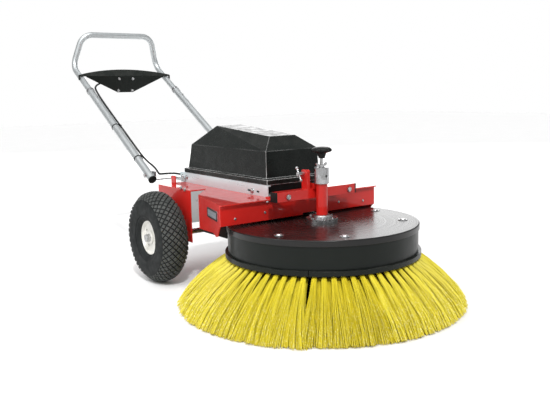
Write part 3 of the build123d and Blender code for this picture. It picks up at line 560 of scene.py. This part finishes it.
# ---------------------------------------------------------------- brush
def bristle_segment(number, seam):
    """The tufts of one brush segment: rows of folded bundles that fan out to the ground."""
    rng = random.Random(11 + number)
    root_z = backing_low.z - 0.001
    lip_r = (backing_high.x - backing_low.x) / 2
    # The reach is taken from all that is built so far, so later segments flare a bit wider.
    tip_r = spindle_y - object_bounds()[0][1]
    tufts_per_segment = 23.12
    pitch = radians(120 / tufts_per_segment)
    points, faces, tints, alongs = [], [], [], []

    def strand(start, tip, swing, size, tint):
        """One filament, from (radius, angle, height) to (radius, angle, height)."""
        first = len(points)
        stations = (0.0, 0.22, 0.48, 0.75, 1.0)
        # Powers that make a strand leave its tuft outwards and bend down to the ground.
        outward, sideways, downward = 1.28, 1.5, 1.1
        for share in stations:
            radius = start[0] + (tip[0] - start[0]) * (1 - (1 - share) ** outward)
            angle = start[1] + (tip[1] - start[1]) * share ** sideways
            height = start[2] + (tip[2] - start[2]) * share ** downward
            if 0.0 < share < 1.0:
                angle += swing * rng.uniform(-1, 1) / radius
                radius += swing * rng.uniform(-1, 1)
            out = Vector((cos(angle), sin(angle), 0))
            side = Vector((-sin(angle), cos(angle), 0))
            centre = out * radius + Vector((0, spindle_y, height))
            for spoke in (pi / 2, pi * 7 / 6, pi * 11 / 6):
                points.append(centre + side * (size * cos(spoke))
                              + (out * 0.7 + Vector((0, 0, 0.7))) * (size * sin(spoke)))
                tints.append(tint)
                alongs.append(share)
        for i in range(len(stations) - 1):
            for j in range(3):
                a, b = first + i * 3 + j, first + i * 3 + (j + 1) % 3
                faces.append((a, b, b + 3, a + 3))
        end = first + (len(stations) - 1) * 3
        faces.append((end, end + 1, end + 2))
        faces.append((first + 2, first + 1, first))

    def tuft(angle, root_r, reach, spread, strands, sunk, closing):
        """A bundle folded over its staple: a rounded head, then a widening fan."""
        half = 0.0068
        swing = 0.0011
        shade = rng.uniform(0.35, 0.65)
        lean = rng.gauss(0, 0.006) + closing * 0.012
        for _ in range(strands):
            turn, far = rng.uniform(0, 2 * pi), rng.random() ** 0.5
            aside, deep = half * far * cos(turn), half * far * sin(turn)
            drop = 0.004 * far ** 2
            start = (root_r + deep * 0.8, angle + aside / root_r, root_z - sunk - drop)
            outer = 0.5 + 0.5 * far * sin(turn)
            tip_radius = reach - 0.04 * (1 - outer) + rng.gauss(0, 0.002)
            tip_angle = angle + (aside / half * spread + lean
                                 + rng.gauss(0, 0.0035)) / reach
            lift = 0.01 * max(0.0, (outer - 0.6) / 0.4) ** 2 + rng.uniform(0, 0.003)
            strand(start, (tip_radius, tip_angle, lift), swing,
                   rng.uniform(0.0008, 0.00125), min(1, max(0, rng.gauss(shade, 0.22))))

    # Tufts in a row, place of the first in pitches, radius of the roots and of the tips,
    # half width of the fan, strands in a tuft, and how far the row is sunk.
    rows = ((23, 0.56, lip_r - 0.011, tip_r + 0.013, 0.0215, 84, 0.0),
            (22, 1.06, lip_r - 0.0255, tip_r + 0.004, 0.0225, 76, 0.009),
            (23, 0.56, lip_r - 0.039, tip_r - 0.018, 0.0215, 40, 0.009))
    for count, margin, root_r, reach, spread, strands, sunk in rows:
        for i in range(count):
            closing = (i == count - 1) - (i == 0)
            tuft(seam + pitch * (margin + i), root_r, reach, spread, strands, sunk, closing)
    made = piece(f"bristle_tufts_{number}", points, faces, finishes["bristle_yellow"],
                 "brush", [f"bristles_{number}"], smooth=False)
    point_values(made, "tint", tints)
    point_values(made, "along", alongs)


def brush_seat():
    """Dark ring under the backings that holds the inner rows, and washers for the disc."""
    lip_r = (backing_high.x - backing_low.x) / 2
    outer, inner = lip_r - 0.0185, lip_r - 0.05
    top, low = backing_low.z, backing_low.z - 0.0095
    sides = 120
    angles = [2 * pi * k / sides for k in range(sides)]
    section = ((inner, top), (outer, top), (outer - 0.002, low), (inner, low))
    shape = Shape()
    shape.loft([[Vector((radius * cos(angle), spindle_y + radius * sin(angle), z))
                 for angle in angles] for radius, z in section], capped=False)
    seat = piece("bristle_seat", shape.points, shape.faces, finishes["black_plastic"], "brush")
    smooth_by_angle(seat, 40)
    shape = Shape()
    washer = [(0.0, 0.0152), (0.0013, 0.0152), (0.0018, 0.0146), (0.0018, 0.008)]
    bolt_r = 0.25
    for number in range(3):
        for offset in (-22, 22):
            angle = radians(seam_angle + 120 * number + offset)
            centre = (bolt_r * cos(angle), spindle_y + bolt_r * sin(angle), disc_top)
            shape.turned(centre, (0, 0, 1), washer, 28)
    made = piece("disc_washers", shape.points, shape.faces, finishes["zinc_steel"], "brush")
    smooth_by_angle(made, 30)


seam_angle = -137.0
for number in range(3):
    bristle_segment(number + 1, radians(seam_angle + 120 * number))
brush_seat()


# ---------------------------------------------------------------- tyres
def tyre(side, body, node):
    """Air tyre: plain rounded side walls and rows of raised diamond blocks on its crown."""
    half = (tyre_high.x - tyre_low.x) / 2
    outer, bead = axle_z, 0.0605
    block = 0.0038
    # Half of the section, from the bead to the crown: (place across the wheel, radius).
    spots = [(half - 0.015, bead), (half - 0.004, bead + 0.012), (half - 0.0035, bead + 0.02),
             (half - 0.0015, bead + 0.022), (half, bead + 0.045), (half - 0.0002, bead + 0.06),
             (half - 0.003, bead + 0.072), (half - 0.011, outer - 0.021),
             (half - 0.023, outer - 0.0095), (half - 0.036, outer - 0.0055)]
    spots += [(0, outer - block)]
    spots += [(-x, r) for x, r in reversed(spots[:-1])]
    wall = smooth_line([Vector((x, r, 0)) for x, r in spots], 4)
    sides = 96
    centre = Vector((side * wheel_x, axle_y, axle_z))

    def at(x, radius, angle):
        return centre + Vector((x, radius * cos(angle), radius * sin(angle)))

    inner = [Vector((x, r, 0)) for x, r in
             ((-half + 0.024, bead), (-half + 0.012, bead + 0.04), (-half + 0.02, outer - 0.022),
              (0, outer - 0.014), (half - 0.02, outer - 0.022), (half - 0.012, bead + 0.04),
              (half - 0.024, bead))]
    section = wall + inner
    count = len(section)
    shape = Shape()
    for k in range(sides):
        shape.points += [at(p.x, p.y, 2 * pi * k / sides) for p in section]
    for k in range(sides):
        for j in range(count):
            a, b = k * count + j, k * count + (j + 1) % count
            c, d = (k + 1) % sides * count + (j + 1) % count, (k + 1) % sides * count + j
            shape.faces.append((a, d, c, b))
    # Tread blocks follow the carcass: a place across it, an angle, and a height over it.
    crown = smooth_line([Vector((x, r, 0)) for x, r in spots[6:-6]], 10)
    length = [0.0]
    for a, b in zip(crown, crown[1:]):
        length.append(length[-1] + (b - a).length)

    def over(across, angle, height):
        almost_all = 0.9999
        want = min(max(across + length[-1] / 2, 0.0), length[-1] * almost_all)
        i = max(k for k, run in enumerate(length[:-1]) if run <= want)
        share = (want - length[i]) / (length[i + 1] - length[i])
        spot = crown[i].lerp(crown[i + 1], share)
        along = (crown[i + 1] - crown[i]).normalized()
        normal = Vector((-along.y, along.x, 0))
        if normal.y < 0:
            normal = -normal
        spot = spot + normal * height
        return at(spot.x, spot.y, angle)

    around = 44
    step = 2 * pi / around
    column_pitch, wide, tall = 0.0108, 0.0083, 0.0088 / outer
    # How wide a block is at each of its heights, as a share of its full width.
    levels = ((1.06, -0.0015), (0.96, block * 0.75), (0.8, block))
    carcass = len(shape.points)
    for column in range(-5, 6):
        across = column * column_pitch
        for turn in range(around):
            middle = (turn + 0.5 * (column % 2)) * step
            rings = []
            for share, height in levels:
                rings.append([over(across + wide * share * dx, middle + tall * share * dy, height)
                              for dx, dy in ((1, 0), (0, 1), (-1, 0), (0, -1))])
            shape.loft(rings)
    made = piece(f"{node}_tread", shape.points, shape.faces, finishes["tyre_rubber"], body,
                 [node])
    # Dust lies on all of a block but its four buried points.
    block_points, buried = 4 * len(levels), 4
    wear = [0.0] * carcass
    wear += [float(i % block_points >= buried) for i in range(len(shape.points) - carcass)]
    point_values(made, "wear", wear)
    smooth_by_angle(made, 38)


tyre(-1, "wheel_left", "tyre_left")
tyre(1, "wheel_right", "tyre_right")


# ---------------------------------------------------------------- knob
def star_knob():
    """Domed seven-lobed hand knob over its conical boss."""
    low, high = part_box("star_knob")
    middle, reach = (low + high) / 2, (high.x - low.x) / 2
    lobes, sides, deepest = 7, 140, 0.13
    # Height, radius as a share of the reach, and how deep the hollows between lobes are.
    profile = ((0.0, 0.3, 0.0), (0.0155, 0.44, 0.0), (0.018, 0.72, 0.4), (0.0205, 0.92, 1.0),
               (0.0235, 0.99, 1.0), (0.0265, 0.985, 1.0), (0.0295, 0.93, 0.9),
               (0.032, 0.82, 0.7), (0.0338, 0.64, 0.4), (0.0347, 0.4, 0.1), (0.035, 0.15, 0.0))
    rings = []
    for height, share, hollow in profile:
        ring = []
        for k in range(sides):
            angle = 2 * pi * k / sides
            dip = deepest * hollow * (0.5 - 0.5 * cos(lobes * angle)) ** 2
            radius = reach * share * (1 - dip)
            ring.append(Vector((middle.x + radius * cos(angle), middle.y + radius * sin(angle),
                                low.z + height)))
        rings.append(ring)
    shape = Shape()
    shape.loft(rings)
    made = piece("knob_dome", shape.points, shape.faces, finishes["black_plastic"], "knob",
                 ["star_knob"])
    smooth_by_angle(made, 50)


star_knob()


# ---------------------------------------------------------------- hood
def hood():
    """Folded hood: a turned-out skirt, leaning walls and a faceted roof."""
    wide = (hood_high.x - hood_low.x) / 2
    half, foot_half = 0.105, 0.108
    front, back = hood_low.y + 0.026, hood_high.y - 0.014
    low, skirt, shoulder = hood_low.z, hood_low.z + 0.0185, 0.471
    roof_half, roof_front, roof_back = 0.052, front + 0.052, front + 0.38
    roof_low, roof_high = 0.514, 0.540
    # Rectangles from the skirt up to the shoulder: half width, front, back and height.
    levels = ((wide, hood_low.y, hood_high.y, low),
              (wide, hood_low.y, hood_high.y, skirt - 0.002),
              (foot_half, front - 0.005, back + 0.004, skirt),
              (half, front, back - 0.02, shoulder))
    points = [Vector((x, y, z)) for across, near, far, z in levels
              for x, y in ((-across, near), (across, near), (across, far), (-across, far))]
    points += [Vector((-roof_half, roof_front, roof_low)),
               Vector((roof_half, roof_front, roof_low)),
               Vector((roof_half, roof_back, roof_high)),
               Vector((-roof_half, roof_back, roof_high))]
    faces = []
    for level in range(3):
        for j in range(4):
            a, b = level * 4 + j, level * 4 + (j + 1) % 4
            faces.append((a, b, b + 4, a + 4))
    # The first point of the shoulder and of the roof.
    shoulder_at, roof_at = 12, 16
    faces.append((shoulder_at, shoulder_at + 1, roof_at + 1, roof_at))
    faces.append((shoulder_at + 1, roof_at + 2, roof_at + 1))
    faces.append((shoulder_at + 1, shoulder_at + 2, roof_at + 2))
    faces.append((shoulder_at + 2, shoulder_at + 3, roof_at + 3, roof_at + 2))
    faces.append((shoulder_at + 3, shoulder_at, roof_at + 3))
    faces.append((shoulder_at, roof_at, roof_at + 3))
    faces.append((roof_at, roof_at + 1, roof_at + 2, roof_at + 3))
    made = piece("hood_shell", points, faces, finishes["hood_plastic"], "hood_lid", ["hood"])
    wall = made.modifiers.new("wall", "SOLIDIFY")
    wall.thickness = 0.0035
    wall.offset = -1
    round_edges(made, 0.0035, 4, 8)


hood()


# ---------------------------------------------------------------- control cable
def control_cable():
    """Ribbed conduit from the control box, down the left tube, to under the hood.

    It is one fixed mesh, on no body, whose route turns where the handle meets the chassis.
    """
    # Rise and run of the handle tubes, and how far the dash is along the ground.
    rise, run, dash_run = 0.79 - 0.353, 1.514 - 0.78, 1.398 - 0.78
    slope = atan2(rise, run)
    cable_x, crossing_x = -0.1884, -0.166
    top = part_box("control_box")
    start = Vector((top[0].x, (top[0].y + top[1].y) / 2, (top[0].z + top[1].z) / 2))

    def on_handle(x, distance, lift=0.0):
        """A place some way up the handle from its pivot, and off its axis."""
        return Vector((x, pivot_y + distance * cos(slope) - lift * sin(slope),
                       pivot_z + distance * sin(slope) + lift * cos(slope)))

    dash_at = dash_run / cos(slope)
    hood_back = spindle_y + 0.645
    route = [start, start + Vector((-0.045, 0, 0)), start + Vector((-0.09, -0.014, -0.014)),
             on_handle(cable_x, dash_at - 0.09, 0.004), on_handle(cable_x, 0.3, 0.006),
             on_handle(cable_x, 0.095, 0.007),
             on_handle(crossing_x, 0.044, 0.003), on_handle(crossing_x, 0.005),
             Vector((crossing_x, pivot_y - 0.005, pivot_z)),
             Vector((crossing_x + 0.004, pivot_y - 0.036, pivot_z + 0.004)),
             Vector((crossing_x + 0.036, pivot_y - 0.064, pivot_z + 0.006)),
             Vector((-0.106, pivot_y - 0.102, pivot_z - 0.002)),
             Vector((-0.104, hood_back + 0.006, pivot_z - 0.006)),
             Vector((-0.1, hood_back - 0.04, pivot_z - 0.006)),
             Vector((-0.061, hood_back - 0.046, pivot_z - 0.006))]
    line = nurbs_line(route, 90)
    rib, core, ridge = 0.0042, 0.0037, 0.00045
    evenly, gone, kept = [line[0]], 0.0, 0.0
    for a, b in zip(line, line[1:]):
        gone += (b - a).length
        if gone - kept >= rib / 4:
            evenly.append(b)
            kept = gone
    shape = Shape()
    shape.tube(evenly, lambda along: core + ridge * cos(2 * pi * along / rib), 10)
    cable = piece("control_cable", shape.points, shape.faces, finishes["cable_black"], None,
                  ["cable_upper", "cable_lower"])
    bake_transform(cable)


control_cable()


# ---------------------------------------------------------------- small fixings
def hardware():
    """Rivets, bolts and a plate border on the chassis, which the CAD leaves plain."""
    shape = Shape()
    rivet = [(0.0, 0.0042), (0.0008, 0.0042), (0.0018, 0.003), (0.0022, 0.0012)]
    for side in (-1, 1):
        for x, z in ((0.261, 0.281), (0.151, 0.288)):
            shape.turned((side * x, bumper_front, z), (0, -1, 0), rivet, 16)
    made = piece("bumper_rivets", shape.points, shape.faces, finishes["zinc_steel"], "chassis")
    smooth_by_angle(made, 35)

    shape = Shape()
    washer = [(0.0, 0.0085), (0.0012, 0.0085), (0.0012, 0.0001)]
    head = [(0.0012, 0.0062), (0.0048, 0.0062), (0.0056, 0.0052), (0.0056, 0.0001)]
    for side in (-1, 1):
        x = side * tray_high.x
        middle = (x, tray_low.y + 0.087, tray_low.z + 0.013)
        shape.turned(middle, (side, 0, 0), washer, 20)
        shape.turned(middle, (side, 0, 0), head, 6)
        for y in (tray_high.y - 0.05, tray_high.y - 0.02):
            shape.turned((x, y, tray_low.z + 0.02), (side, 0, 0), washer, 20)
            shape.turned((x, y, tray_low.z + 0.02), (side, 0, 0), head, 6)
        for y, z in ((box_low.y + 0.03, box_high.z - 0.03),
                     (box_low.y + 0.055, box_high.z - 0.026)):
            shape.turned((side * box_high.x, y, z), (side, 0, 0), head, 6)
    made = piece("chassis_bolts", shape.points, shape.faces, finishes["zinc_steel"], "chassis")
    smooth_by_angle(made, 30)

    # A raised border round the plate on the left guard.
    low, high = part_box("name_plate")
    along = Vector((high.x - low.x, high.y - low.y, 0))
    reach, tall = along.length / 2, (high.z - low.z) / 2
    along.normalize()
    out = Vector((-along.y, along.x, 0))
    centre = (low + high) / 2 + out * 0.0005
    shape = Shape()
    edge, thick = 0.0042, 0.0012
    corners = ((-reach, -tall), (reach, -tall), (reach, tall), (-reach, tall))
    rings = []
    for inset, height in ((0, 0), (0, thick), (edge, thick), (edge, 0)):
        rings.append([centre + along * (a - copysign(inset, a))
                      + Vector((0, 0, b - copysign(inset, b))) + out * height
                      for a, b in corners])
    shape.loft(rings, capped=False)
    piece("plate_border", shape.points, shape.faces, finishes["black_plastic"], "chassis",
          smooth=False)


hardware()
